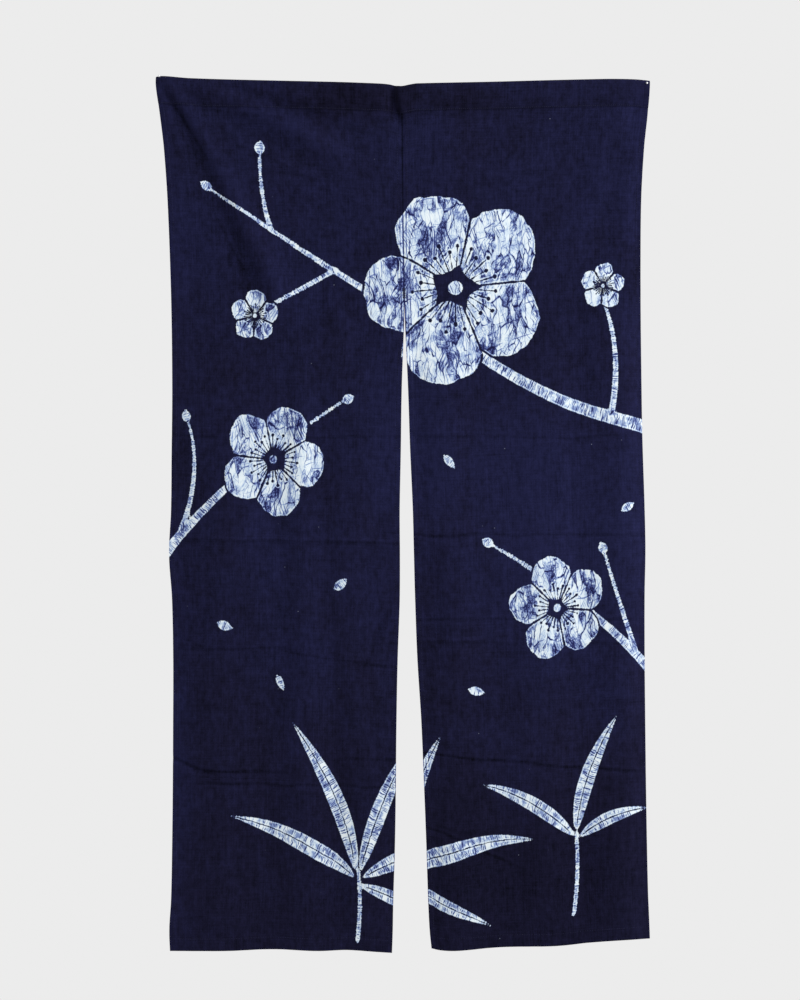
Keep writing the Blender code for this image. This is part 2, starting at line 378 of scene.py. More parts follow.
def soft_noise(across, down, across_mm, down_mm, seed):
    """Smooth random values from -1 to 1 whose spots are about the two given sizes."""
    lattice = np.random.default_rng(seed).uniform(-1, 1, (LATTICE, LATTICE))
    x = np.asarray(across) / across_mm + NOISE_SHIFT
    y = np.asarray(down) / down_mm + NOISE_SHIFT
    column = np.floor(x).astype(int)
    row = np.floor(y).astype(int)
    s = smooth_step(x - column)
    t = smooth_step(y - row)
    corner, right, below, far = [
        lattice[(row + down_one) % LATTICE, (column + right_one) % LATTICE]
        for down_one in (0, 1)
        for right_one in (0, 1)
    ]
    return mix(mix(corner, right, s), mix(below, far, s), t)


def fold_line(row, across, drop):
    """Distance aside of a fold's bowed line, and the share of the way from its head to its foot."""
    x0, drop0, x1, drop1, bow = row[:5]
    run_x = x1 - x0
    run_drop = drop1 - drop0
    length = math.hypot(run_x, run_drop)
    share = ((across - x0) * run_x + (drop - drop0) * run_drop) / length**2
    aside = ((across - x0) * run_drop - (drop - drop0) * run_x) / length
    part = clamp(share)
    return aside - bow * 4.0 * part * (1.0 - part), share


def fold_fade(share):
    return smooth_step(share / HEAD_FADE) * smooth_step((1.0 - share) / FOOT_FADE)


def fold_strength(across, drop):
    """The hanging folds swell and sink along their length, and the pulls from the pins don't."""
    swell = 1.0 + 0.42 * soft_noise(across, drop, 90, 150, 14)
    return mix(1.0, swell, smooth_step((drop - 360) / 160))


def fold_depth(rows, across, drop):
    depth = np.zeros(np.broadcast(across, drop).shape)
    for row in rows:
        width0, width1, depth0, depth1 = row[5:]
        aside, share = fold_line(row, across, drop)
        part = clamp(share)
        width = mix(width0, width1, part)
        depth += mix(depth0, depth1, part) * fold_fade(share) * np.exp(-((aside / width) ** 2))
    return depth


def pinch(across, drop):
    """How strongly the pinch beside the join works. It turns towards the join on its way down."""
    middle = PINCH_ACROSS + PINCH_LEAN * clamp(drop / HEADING_HEIGHT) ** 3
    width = np.where(across < middle, PINCH_LEFT_WIDTH, PINCH_RIGHT_WIDTH)
    aside = np.exp(-(((across - middle) / width) ** 2))
    return aside * smooth_step((PINCH_END - drop) / (PINCH_END - HEADING_HEIGHT))


def crease_wander(across, drop):
    return 3.0 * soft_noise(across, drop, 70, 60, 11) + 1.2 * soft_noise(across, drop, 22, 30, 12)


def crease_strength(across, drop):
    return 0.8 + 0.45 * soft_noise(across, drop, 60, 60, 13)


def wandering_creases(across, drop):
    """The fine creases, whose lines wander a little and come and go."""
    depth = fold_depth(CREASES, across, drop + crease_wander(across, drop))
    return crease_strength(across, drop) * depth


def crease_facts(across, drop):
    """Distance aside of the nearest fine crease, its strength, and that distance below zero."""
    wandered = drop + crease_wander(across, drop)
    best = np.full(across.shape, FAR)
    facts = triple(best, 0.0, -best)
    for row in CREASES:
        aside, share = fold_line(row, across, wandered)
        strength = np.abs(mix(row[7], row[8], clamp(share))) * fold_fade(share)
        nearer = (np.abs(aside) < best) & (strength > 0.02)
        best[nearer] = np.abs(aside)[nearer]
        facts[nearer, 0] = aside[nearer]
        facts[nearer, 1] = (strength * crease_strength(across, drop))[nearer]
        facts[nearer, 2] = -np.abs(aside)[nearer]
    return facts


def uneven(across, drop):
    """Slow and small unevenness of hand-dyed cotton that was folded and hung."""
    slow = 1.0 * soft_noise(across, drop, 75, 240, 21)
    middle = 0.62 * soft_noise(across, drop, 28, 120, 22)
    small = 0.34 * soft_noise(across, drop, 12, 46, 23)
    return slow + middle + small


def hanging_share(drop):
    """The heading is too stiff to take the folds of the hanging cloth below it."""
    return smooth_step((drop + TOP_STIFFNESS / 2) / TOP_STIFFNESS)


def tone_clouds(across, drop):
    paler = np.zeros(drop.shape)
    for x, middle_drop, reach_across, reach_down, strength in TONE_CLOUDS:
        away = np.hypot((across - x) / reach_across, (drop - middle_drop) / reach_down)
        paler += strength * smooth_step(1.0 - away)
    return paler


def hanging_folds(across, drop):
    return fold_depth(FOLDS, across, drop) * fold_strength(across, drop)


def relief_facts(across, drop):
    """Depth of the pulled folds, below 0 on a ridge, for the painted light and shade on them, and how
    much paler the tone clouds make the ground.
    """
    pulled = mix(1.0, 0.15, smooth_step((drop - 300) / 200)) * hanging_share(drop)
    depth = hanging_folds(across, drop) * pulled
    return triple(depth, tone_clouds(across, drop), 0.0)


def cloth_depth(across, drop):
    wave = HEADING_WAVE * np.sin(TAU * across / HEADING_WAVE_LENGTH)
    hanging = hanging_folds(across, drop) + uneven(across, drop)
    hangs = hanging_share(drop)
    depth = mix(wave, hanging, hangs) + PINCH_DEPTH * pinch(across, drop)
    return depth + wandering_creases(across, drop) * hangs


def outer_edge(side, drop):
    return read_table(EDGES, drop, OUTER_COLUMN[side])


def inner_edge(side, drop):
    """The two panels touch at the join, and the slit opens below it."""
    opening = np.maximum(read_table(EDGES, drop, OPENING_COLUMN), 0.0)
    return read_table(EDGES, drop, MIDDLE_COLUMN) + side * opening / 2


def fine_steps(length, start_marks, end_marks, step):
    """Places from 0 to length: fine at both ends, even between them."""
    start = np.array(start_marks, dtype=float)
    end = length - np.array(end_marks[::-1], dtype=float)
    count = max(2, round((end[0] - start[-1]) / step))
    return np.r_[start, np.linspace(start[-1], end[0], count + 1)[1:-1], end]


def grid_normals(points):
    """Unit normals of a grid of points whose first row faces the viewer, and whether they were turned."""
    down = np.gradient(points, axis=0)
    across = np.gradient(points, axis=1)
    normal = np.cross(across, down)
    normal /= np.linalg.norm(normal, axis=2, keepdims=True)
    turned = normal[0, :, 1].mean() > 0
    return (-normal if turned else normal), turned


def new_piece(name, points, faces, material):
    mesh = bpy.data.meshes.new(name)
    mesh.from_pydata((np.asarray(points) * MM).tolist(), [], faces)
    mesh.update()
    mesh.materials.append(material)
    mesh.shade_smooth()
    piece = bpy.data.objects.new(name, mesh)
    bpy.context.collection.objects.link(piece)
    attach(piece, "root")
    return piece


def grid_faces(rows, columns, first, turned):
    """Quads of a grid whose points start at number first, row after row."""
    faces = []
    for row in range(rows - 1):
        for column in range(columns - 1):
            a = first + row * columns + column
            quad = (a, a + columns, a + columns + 1, a + 1)
            faces.append(quad[::-1] if turned else quad)
    return faces


def rim_faces(rows, columns, turned):
    """Quads that join the front grid to the back grid round their rim."""
    top = list(range(columns))
    right = [row * columns + columns - 1 for row in range(1, rows)]
    bottom = [(rows - 1) * columns + column for column in range(columns - 2, -1, -1)]
    left = [row * columns for row in range(rows - 2, 0, -1)]
    ring = top + right + bottom + left
    back = rows * columns
    faces = []
    for index, here in enumerate(ring):
        after = ring[(index + 1) % len(ring)]
        quad = (here, after, after + back, here + back)
        faces.append(quad[::-1] if turned else quad)
    return faces


def sheet_piece(name, middle, front, back, material, facts):
    """A closed thin sheet round a grid of middle points, with an offset for each side."""
    rows, columns = middle.shape[:2]
    normal, turned = grid_normals(middle)
    points = np.r_[
        (middle + normal * front[..., None]).reshape(-1, 3),
        (middle - normal * back[..., None]).reshape(-1, 3),
    ]
    faces = grid_faces(rows, columns, 0, not turned)
    faces += grid_faces(rows, columns, rows * columns, turned)
    faces += rim_faces(rows, columns, turned)
    piece = new_piece(name, points, faces, material)
    for key, values in facts.items():
        both = np.r_[values.reshape(-1, 3), values.reshape(-1, 3)]
        attribute = piece.data.attributes.new(key, "FLOAT_VECTOR", "POINT")
        attribute.data.foreach_set("vector", both.astype(np.float32).ravel())
    return piece


def bezier(row, share):
    """Points of the bent line through a row's start, bend and end."""
    start = np.array(row[0:2], dtype=float)
    bend = np.array(row[2:4], dtype=float)
    end = np.array(row[4:6], dtype=float)
    s = share[:, None]
    return (1 - s) ** 2 * start + 2 * s * (1 - s) * bend + s**2 * end


def leaf_width(share, widest):
    return widest * np.sin(math.pi * share**0.8) ** 0.74


def strokes():
    """Every bough, leaf, bud and petal as a line of points with a half width at each, and a rib mark."""
    lines = []
    share = np.linspace(0, 1, 90)
    for row in BOUGHS:
        lines.append((bezier(row, share), mix(row[6], row[7], share), False))
    for row in LEAVES:
        lines.append((bezier(row, share), leaf_width(share, row[6]), True))
    share = np.linspace(0, 1, 24)
    for x, drop, run_x, run_drop, half in BUDS:
        row = (x, drop, x + run_x / 2, drop + run_drop / 2, x + run_x, drop + run_drop)
        lines.append((bezier(row, share), half * np.sin(math.pi * share**0.75) ** 0.65, False))
    return lines


def way_along(line):
    """Distance of each point of a line from its start, along it."""
    return np.r_[0, np.cumsum(np.linalg.norm(np.diff(line, axis=0), axis=1))]


def facts_of_stroke(line, half, places):
    """How far inside a stroke each place is, with its distance aside, along it, and its half width."""
    tangent = np.gradient(line, axis=0)
    tangent /= np.linalg.norm(tangent, axis=1, keepdims=True)
    away = places[:, None, :] - line[None]
    distance = np.linalg.norm(away, axis=2)
    pick = (half[None] - distance).argmax(axis=1)
    index = np.arange(len(places))
    offset = away[index, pick]
    nearest = distance[index, pick]
    side = np.sign(offset[:, 0] * tangent[pick, 1] - offset[:, 1] * tangent[pick, 0] + 1e-9)
    along = way_along(line)[pick] + (offset * tangent[pick]).sum(axis=1)
    return half[pick] - nearest, triple(side * nearest, along, half[pick])


# How far from a stroke its facts are looked for, and how far apart the cracks of two strokes start
STROKE_REACH = 25.0
STROKE_SHIFT = 137.0


def stroke_facts(flat):
    """Facts of the nearest stroke for each flat place.

    The first three are the distance aside of its line, along it, and its half width. The other
    three are how far inside the stroke the place is, whether the stroke has a rib, and how far
    outside the nearest blossom the place is. Last comes whether all places around are the same stroke's.
    """
    places = flat[..., :2].reshape(-1, 2)
    best = np.full(len(places), -FAR)
    facts = triple(-best, 0.0, 0.0)
    ribs = np.zeros(len(places))
    numbers = np.full(len(places), -1)
    for number, (line, half, ribbed) in enumerate(strokes()):
        margin = half.max() + STROKE_REACH
        low = line.min(axis=0) - margin
        high = line.max(axis=0) + margin
        near = np.flatnonzero(((places > low) & (places < high)).all(axis=1))
        if len(near) == 0:
            continue
        inside, found = facts_of_stroke(line, half, places[near])
        found[:, 1] += STROKE_SHIFT * number
        better = inside > best[near]
        chosen = near[better]
        best[chosen] = inside[better]
        facts[chosen] = found[better]
        ribs[chosen] = 1.0 if ribbed else 0.0
        numbers[chosen] = number
    more = triple(best, ribs, blossom_distance(flat).ravel())
    whole = unmixed(numbers.reshape(flat.shape[:2]))
    return facts.reshape(flat.shape), more.reshape(flat.shape), whole


def unmixed(numbers):
    """1 where a place of the grid and all its neighbours belong to the same stroke, or else 0."""
    rows, columns = numbers.shape
    padded = np.pad(numbers, 1, mode="edge")
    around = [padded[r : r + rows, c : c + columns] for r in range(3) for c in range(3)]
    return (np.max(around, axis=0) == np.min(around, axis=0)).astype(float)


def blossom_distance(flat):
    rings = [np.hypot(flat[..., 0] - row[0], flat[..., 1] - row[1]) - row[2] for row in BLOSSOMS]
    return np.min(rings, axis=0)


def blossom_facts(flat):
    """For each flat place: its place in the nearest blossom, in radii, and that blossom's radius."""
    best = np.full(flat.shape[:2], np.inf)
    facts = np.zeros(flat.shape)
    for across, drop, radius, turn in BLOSSOMS:
        x = (flat[..., 0] - across) / radius
        y = (flat[..., 1] - drop) / radius
        angle = math.radians(turn)
        turned_x = x * math.cos(angle) + y * math.sin(angle)
        turned_y = y * math.cos(angle) - x * math.sin(angle)
        place = triple(turned_x, turned_y, float(radius))
        away = (np.hypot(x, y) - 1.0) * radius
        nearer = away < best
        best[nearer] = away[nearer]
        facts[nearer] = place[nearer]
    return facts


class Wire:
    """One output of a shader node, with sums and products that make further nodes."""

    def __init__(self, tree, socket):
        self.tree = tree
        self.socket = socket

    def beside(self, name):
        """Another output of the same node."""
        return Wire(self.tree, self.socket.node.outputs[name])

    def math(self, operation, *others):
        return add_node(self.tree, "Math", enumerate((self, *others)), operation=operation)

    def __add__(self, other):
        return self.math("ADD", other)

    def __sub__(self, other):
        return self.math("SUBTRACT", other)

    def __mul__(self, other):
        return self.math("MULTIPLY", other)

    def __truediv__(self, other):
        return self.math("DIVIDE", other)

    def least(self, other):
        return self.math("MINIMUM", other)

    def most(self, other):
        return self.math("MAXIMUM", other)

    def size(self):
        return self.math("ABSOLUTE")

    def flipped(self):
        """One less this value."""
        return self * -1.0 + 1.0

    def step(self, low, high):
        """Smooth rise from 0 at low to 1 at high."""
        inputs = [("From Min", low), ("From Max", high), ("Value", self)]
        return add_node(self.tree, "MapRange", inputs, interpolation_type="SMOOTHSTEP")

    def fall(self, low, high):
        """Smooth fall from 1 at low to 0 at high."""
        return self.step(low, high).flipped()

    def line(self, half):
        """1 where this distance is zero, falling to 0 at the given half width."""
        return self.size().fall(0.0, half)

    def over(self, other):
        """Two layers of dye, one over the other."""
        return self + other * self.flipped()


def add_node(tree, kind, inputs, output=0, **settings):
    """One output of a new shader node. Each input is its name or number with a Wire or a value."""
    node = tree.nodes.new("ShaderNode" + kind)
    for key, value in settings.items():
        setattr(node, key, value)
    feed(tree, node, inputs)
    return Wire(tree, node.outputs[output])


def feed(tree, node, inputs):
    for key, value in inputs:
        if isinstance(value, Wire):
            tree.links.new(value.socket, node.inputs[key])
        else:
            node.inputs[key].default_value = value


def join(x, y):
    """One place from its two coordinates, of which at least one is a Wire."""
    tree = (x if isinstance(x, Wire) else y).tree
    return add_node(tree, "CombineXYZ", [(0, x), (1, y)])


def split(vector):
    x = add_node(vector.tree, "SeparateXYZ", [(0, vector)])
    return [x, x.beside("Y"), x.beside("Z")]


def stored(tree, name):
    """The three numbers of a stored attribute."""
    return split(add_node(tree, "Attribute", [], "Vector", attribute_name=name))


def noise(x, y, detail=2.0, roughness=0.5):
    place = join(x, y)
    inputs = [("Scale", 1.0), ("Detail", detail), ("Roughness", roughness), ("Vector", place)]
    return add_node(place.tree, "TexNoise", inputs, noise_dimensions="2D")


def cells(place):
    """Distance to the nearest of random points, that point, and three random numbers for it."""
    inputs = [("Scale", 1.0), ("Vector", place)]
    distance = add_node(place.tree, "TexVoronoi", inputs, voronoi_dimensions="2D")
    return distance, split(distance.beside("Position")), split(distance.beside("Color"))


def cell_edges(place):
    """Distance to the nearest border between random cells, in cells."""
    inputs = [("Scale", 1.0), ("Vector", place)]
    kind = {"voronoi_dimensions": "2D", "feature": "DISTANCE_TO_EDGE"}
    return add_node(place.tree, "TexVoronoi", inputs, "Distance", **kind)


def ramp(value, stops):
    node = value.tree.nodes.new("ShaderNodeValToRGB")
    elements = node.color_ramp.elements
    while len(elements) < len(stops):
        elements.new(0.5)
    for element, (place, colour) in zip(elements, stops):
        element.position = place
        element.color = (*colour, 1.0)
    feed(value.tree, node, [(0, value)])
    return Wire(value.tree, node.outputs[0])


# Places of the two colours among the inputs of a mix node, and of the mixed colour among its outputs
MIX_COLOUR_INPUTS = (6, 7)
MIX_COLOUR_OUTPUT = 2


def blend_colour(share, first, second):
    colours = [value if isinstance(value, Wire) else (*value, 1.0) for value in (first, second)]
    inputs = [("Factor", share), *zip(MIX_COLOUR_INPUTS, colours)]
    return add_node(share.tree, "Mix", inputs, MIX_COLOUR_OUTPUT, data_type="RGBA")


def scale_colour(colour, factor):
    return add_node(colour.tree, "VectorMath", [(0, colour), ("Scale", factor)], operation="SCALE")


# Colours as reflected light, measured against the light of this scene
INDIGO_LIGHT = (0.0065, 0.0070, 0.0256)
INDIGO_DEEP = (0.0056, 0.0053, 0.0170)
LINT = (0.10, 0.11, 0.15)

# Width of the paler band along the side hems, which is paler still on the right as painted light
MARGIN = 60.0
WAX_STOPS = [
    (0.00, (0.575, 0.625, 0.650)),
    (0.14, (0.478, 0.556, 0.618)),
    (0.34, (0.230, 0.308, 0.470)),
    (0.56, (0.085, 0.117, 0.285)),
    (0.80, (0.019, 0.024, 0.100)),
    (1.00, (0.006, 0.006, 0.030)),
]


# A blossom, in shares of its radius: how far out a petal's round lies and how large it is, the
# dark heart, the white eye in it, and the dark threads and their heads
PETALS = 5
PETAL_OUT = 0.585
PETAL_ROUND = 0.405
HEART = 0.135
EYE = 0.075
THREAD_HEAD = 0.017
THREADS = [
    # degrees from the middle of a petal, length
    (0.0, 0.46),
    (13.0, 0.37),
    (26.0, 0.43),
]


def petal_wax(across, down, radius):
    """How far inside a blossom's wax a place is, in millimetres, and how far out, in radii."""
    reach = (across * across + down * down).math("SQRT")
    angle = across.math("ARCTAN2", down)
    sector = TAU / PETALS
    number = (angle / sector).math("ROUND")
    turn = angle - number * sector
    out = reach * turn.math("COSINE")
    aside = (reach * turn.math("SINE")).size()
    from_middle = out - PETAL_OUT
    petal = (from_middle * from_middle + aside * aside).math("SQRT") * -1.0 + PETAL_ROUND
    # No two petals are drawn quite alike
    growth = noise(number * 7.3 + radius * 1.7, radius * 0.31) - 0.5
    wobble = noise(across * 2.6 + radius, down * 2.6) - 0.5
    petal = petal + growth * 0.10 + wobble * 0.13
    to_next = out * math.sin(sector / 2) - aside * math.cos(sector / 2)
    wax = (petal * radius).least(to_next * radius - 1.7)
    wax = wax.least((reach - HEART) * radius)
    for degrees, length in THREADS:
        way = math.radians(degrees)
        along = out * math.cos(way) + aside * math.sin(way)
        off = (aside * math.cos(way) - out * math.sin(way)).size()
        thread = (off * radius - 0.85).most((along - length) * radius)
        end = ((along - length) * (along - length) + off * off).math("SQRT")
        wax = wax.least(thread).least((end - THREAD_HEAD) * radius - 0.6)
    eye = (reach * -1.0 + EYE) * radius
    return wax.most(eye), reach


def cracks(across, along, spacing, sway, stretch):
    """Nearly parallel cracks in broken wax, each one there only in stretches. Millimetres."""
    drift = noise(across / (spacing * 2.7) + spacing, along / stretch) - 0.5
    phase = across / spacing + drift * sway
    number = phase.math("FLOOR")
    off = (phase - number - 0.5).size() * spacing
    there = noise(number * 5.3 + sway, along / (stretch * 0.4), 1.0)
    width = there.step(0.44, 0.74) * 1.3 + 0.6
    return (off / width).fall(0.0, 1.0) * there.step(0.42, 0.54)


# Distances from one fan of cracks to the next
FAN_ACROSS = 30
FAN_DOWN = 38


def fans(u, v):
    """Short cracks that spread to one side from points where the wax was pinched."""
    x = u / FAN_ACROSS + 3.3
    y = v / FAN_DOWN + 9.1
    _, centre, chance = cells(join(x, y))
    off_x = (x - centre[0]) * FAN_ACROSS
    off_y = (y - centre[1]) * FAN_DOWN
    reach = (off_x * off_x + off_y * off_y).math("SQRT")
    angle = off_x.math("ARCTAN2", off_y)
    ray = noise(angle * 4.0 + chance[0] * 60, reach / 60, 1.0) - 0.5
    fade = reach.fall(3, 20) * chance[1].step(0.54, 0.60)
    to_one_side = (off_x * (chance[2] - 0.5) + off_y * (chance[0] - 0.5)).step(0.0, 2.0)
    return ray.line(0.06) * fade * to_one_side


def crackle(x, y):
    """Dye that ran into broken wax: 0 is clean white and 1 is full indigo. Places in millimetres."""
    bend_x = (noise(x / 60, y / 80) - 0.5) * 20
    bend_y = (noise(x / 60 + 31, y / 70) - 0.5) * 16
    kink = (noise(x / 5 + 3, y / 5) - 0.5) * 0.9
    u = x + bend_x + kink
    v = y + bend_y - kink
    clean = noise(x / 26 + 17, y / 40 + 5).step(0.49, 0.58)
    patch = noise(x / 34 + 7, y / 46, 2.0)
    patch_two = noise(x / 25 + 57, y / 30 + 13, 2.0)
    haze = noise(u / 20 + 11, v / 32, 5.0, 0.68).step(0.38, 0.62)

    # Some fields between the main cracks stay clean, and others fill with finer ones
    bow = (noise(x / 13 + 47, y / 19, 1.0) - 0.5) * 11
    field = join((u + bow) / 11.5, (v - bow) / 42)
    main = cell_edges(field)
    _, _, chance = cells(field)
    broken = chance[0].step(0.16, 0.70)
    width = patch.step(0.32, 0.74) * 0.050 + 0.040
    there = noise(x / 9 + 83, y / 15).step(0.36, 0.58) * 0.60 + 0.40
    dye = (main / width).fall(0.2, 1.0) * (patch.step(0.30, 0.54) * 0.40 + 0.54) * there
    # Cracks run in bundles that lean to one side here and to the other there
    way = noise(x / 52 + 71, y / 62 + 29, 1.0)
    bundle = noise(u / 17 + 13, v / 80, 2.0).step(0.38, 0.58) * 0.76 + 0.24
    bundle = bundle * (broken * 0.50 + 0.50)
    upright = cracks(u, v, 4.0, 2.0, 220) * (way - 0.5).line(0.15) * 0.96
    leaning = cracks(u - v * 0.40, v, 4.2, 1.8, 200) * way.step(0.49, 0.55) * 0.92
    dye = dye.over(upright.over(leaning) * bundle)
    dye = dye.over(cracks(u + v * 0.52, v, 4.8, 1.8, 180) * way.fall(0.45, 0.51) * bundle * 0.92)
    dye = dye.over(cracks(v + u * 0.3, u, 11.0, 2.0, 110) * patch_two.step(0.46, 0.58) * 0.50)
    fine = cell_edges(join(u / 4.6 + 20, v / 8.2))
    net = fine.fall(0.02, 0.17) * (haze * 0.62 + 0.16)
    dye = dye.over(fans(u, v) * 0.60)
    halo = main.fall(0.0, 0.30) * patch.step(0.38, 0.62) * 0.40
    fleck = noise(x / 1.8, y / 2.4, 1.0).step(0.44, 0.70)
    soaked = haze * (fleck * 0.42 + 0.54)
    spread = net.over(halo).over(soaked) * (broken * 0.72 + 0.28) * (clean * -0.62 + 1.0)
    return dye.over(spread)


def stroke_crackle(aside, along):
    """Narrow wax lines break straight across."""
    bend = (noise(along / 13, aside / 12) - 0.5) * 5
    across = along + bend
    patch = noise(along / 24 + 9, aside / 60)
    dye = cracks(across, aside, 3.4, 1.8, 90) * 0.84
    dye = dye.over(cracks(across + aside * 0.45, aside, 2.6, 1.8, 70) * patch.step(0.40, 0.58) * 0.56)
    haze = noise(along / 16 + 3, aside / 18, 4.0, 0.66).step(0.38, 0.68)
    return dye.over(haze * 0.46)


def new_material(name):
    """A material, its tree, and its own shader."""
    material = bpy.data.materials.new(name)
    material.use_nodes = True
    return material, material.node_tree, material.node_tree.nodes["Principled BSDF"]


def drawn_wax(tree):
    """How far inside the drawn wax a place is, and how far that wax belongs to one stroke."""
    x, y, whole = stored(tree, "flat_place")
    across, down, radius = stored(tree, "blossom_place")
    aside, along, half = stored(tree, "stroke_place")
    inside, rib, away = stored(tree, "stroke_more")
    # Hand-drawn wax never has a clean edge
    shake = noise(x / 12, y / 12) - 0.5
    tremble = noise(x / 2.4, y / 2.4) - 0.5
    blossom, reach = petal_wax(across, down, radius)
    blossom = blossom.least(away * -1.0 + 12.0) + shake * 3.2 + tremble * 1.8
    outside = (blossom * -1.0 - BLOSSOM_MARGIN).least((reach - NOTCH_REACH) * radius)
    # Where two strokes meet, a face mixes the facts of both and only the depth inside them holds
    leaf_rib = (aside.size() - 0.9) * rib + rib.flipped() * 50.0 + whole.flipped() * 50.0
    gaps = (noise(along / 3.4, half) - 0.5) * half.fall(2.4, 7.0) * whole
    stroke = (half - aside.size()).least(inside + whole * 2.0).least(leaf_rib).least(outside)
    stroke = stroke + shake * 1.6 + tremble * 1.4 + gaps * 4.5
    in_stroke = stroke.step(-1.0, 1.0) * blossom.fall(-1.0, 1.0) * whole
    return blossom.most(stroke), in_stroke


def waxed_cloth(tree, wax, in_stroke):
    """Colour of the cloth that the wax kept white, with the dye that ran in through its cracks."""
    x, y, _ = stored(tree, "flat_place")
    _, hem_inner, _ = stored(tree, "hem_distance")
    aside, along, _ = stored(tree, "stroke_place")
    field = crackle(x, y)
    dye = field + (stroke_crackle(aside, along) - field) * in_stroke
    # The panels' turned edges take dye along their folds, and the rim of the wax stays whitest
    seam_lines = (hem_inner - 11.0).line(1.8) * 0.6 + (hem_inner - 5.5).line(1.7) * 0.7
    seam_lines = seam_lines * noise(x / 9, y / 24).step(0.3, 0.6)
    seam_lines = seam_lines.over(hem_inner.fall(0.4, 2.2) * 0.8)
    rim = (wax - 1.5).line(1.5) * noise(x / 10 + 3, y / 10).step(0.36, 0.56)
    return ramp(dye.over(seam_lines) * (rim * -0.75 + 1.0), WAX_STOPS)


def warp_streaks(x, y):
    return noise(x / 2.4, y / 80, 3.0, 0.65) - 0.5


def speckles(x, y):
    return noise(x / 2.4 + 60, y / 2.8, 2.0, 0.7) - 0.5


def dyed_ground_and_painted_light(tree):
    """Colour of the indigo ground: clouds that darken towards the foot, and streaks of warp and weft,
    with painted light and shade on the pulled folds, the fine creases, the join and the right side hem.
    """
    x, y, _ = stored(tree, "flat_place")
    hem_side, hem_inner, _ = stored(tree, "hem_distance")
    crease, crease_depth, near = stored(tree, "crease_place")
    fold_shade_depth, paler, _ = stored(tree, "relief_place")
    cloud = noise(x / 150 + 5, y / 210, 3.0, 0.6)
    blotch = noise(x / 30 + 41, y / 52, 3.0, 0.6)
    mottle = noise(x / 10 + 20, y / 15, 3.0, 0.65) - 0.5
    heading = y.fall(44, 54)
    depth = cloud * 1.2 + blotch * 0.6 + mottle * 0.6 + 0.12 - y * 0.00055 - heading * 0.24
    indigo = blend_colour((depth + paler * 1.3).step(0.05, 1.25), INDIGO_DEEP, INDIGO_LIGHT)
    weft_streaks = noise(x / 60, y / 2.4 + 9, 2.0, 0.6) - 0.5
    factor = warp_streaks(x, y) * 0.85 + weft_streaks * 0.56 + speckles(x, y) * 0.72 + mottle * 1.1 + 1.0
    factor = factor + (blotch - 0.5) * 0.46 + paler * 0.5
    # Painted light and shade on the pulled folds: ridges are painted paler, as if facing the light, and
    # furrows darker
    factor = factor + fold_shade_depth.step(-9.0, 9.0) * -0.60 + 0.30
    # Painted shade: a dark line along each fine crease, with a thin painted highlight 6 mm to one side of
    # it
    crease_shade_share = (near + 14.0).step(0.0, 2.0) * crease_depth.least(2.6)
    factor = factor + ((crease - 6.0).line(5.0) * 0.08 - crease.line(5.0) * 0.19) * crease_shade_share
    hem_shade = hem_side.fall(SIDE_HEM - 1, SIDE_HEM + 1) * 0.08
    # Painted shade: the groove at the join above the slit is darkened in the colour
    joined = hem_inner.fall(0.5, 2.4) * (y - SLIT_TOP_DROP).fall(-4.0, 4.0)
    # The band along the side hems is made paler, and on the right panel, the lamp's side, paler still as
    # a painted highlight
    margin = hem_side.fall(0.0, MARGIN) * (x.step(-1.0, 1.0) * 0.12 + 0.20)
    factor = factor - hem_shade - joined * 0.42 - heading * 0.03 + margin
    distance, _, chance = cells(join(x / 70, y / 70))
    lint = distance.fall(0.004, 0.018) * chance[1].step(0.80, 0.98)
    return blend_colour(lint, scale_colour(indigo, factor), LINT)


def cloth_bump(tree):
    """Threads and the grooves of the hem seams."""
    x, y, _ = stored(tree, "flat_place")
    hem_side, hem_inner, hem_foot = stored(tree, "hem_distance")
    threads = noise(x / 0.9, y / 26, 2.0, 0.6) * 0.5
    threads = threads + noise(x / 26, y / 0.9 + 4, 2.0, 0.6) * 0.5
    grooves = (hem_side - SIDE_HEM).line(1.3) + (hem_inner - SIDE_HEM).line(1.3)
    grooves = grooves + (hem_foot - FOOT_HEM).line(1.4)
    height = threads * 0.12 + speckles(x, y) * 0.10 - grooves * 0.35 + warp_streaks(x, y) * 0.14
    return add_node(tree, "Bump", [("Strength", 0.8), ("Distance", MM), ("Height", height)])


def cloth_material():
    """Dark indigo cotton with a crackled white wax-resist design, both sides alike, and painted light and
    shade on its folds, creases and join.
    """
    material, tree, shader = new_material("indigo_batik_cotton")
    wax, in_stroke = drawn_wax(tree)
    white_share = wax.step(-0.55, 0.55)
    feed(tree, shader, [
        ("Base Color", blend_colour(white_share, dyed_ground_and_painted_light(tree), waxed_cloth(tree, wax, in_stroke))),
        ("Normal", cloth_bump(tree)),
        ("Roughness", 0.92),
        ("Specular IOR Level", 0.02),
        ("Sheen Weight", 0.01),
        ("Sheen Roughness", 0.6),
    ])
    return material


def grained_material(name, scale, detail, dark, pale):
    """A material whose colour varies in fine grains between two colours, and that variation."""
    material, tree, shader = new_material(name)
    coordinates = add_node(tree, "TexCoord", [], "Object")
    grain = add_node(tree, "TexNoise", [("Scale", scale), ("Detail", detail), ("Vector", coordinates)])
    feed(tree, shader, [("Base Color", blend_colour(grain, dark, pale))])
    return material, shader, grain


def thread_material():
    dark = (0.010, 0.011, 0.030)
    pale = (0.026, 0.028, 0.066)
    material, shader, grain = grained_material("indigo_thread", 900.0, 2.0, dark, pale)
    feed(grain.tree, shader, [("Roughness", 0.7), ("Specular IOR Level", 0.2)])
    return material


def steel_material():
    dark = (0.62, 0.63, 0.65)
    pale = (0.80, 0.81, 0.82)
    material, shader, grain = grained_material("bright_pin_steel", 1400.0, 3.0, dark, pale)
    feed(grain.tree, shader, [("Roughness", grain * 0.16 + 0.18), ("Metallic", 1.0)])
    return material


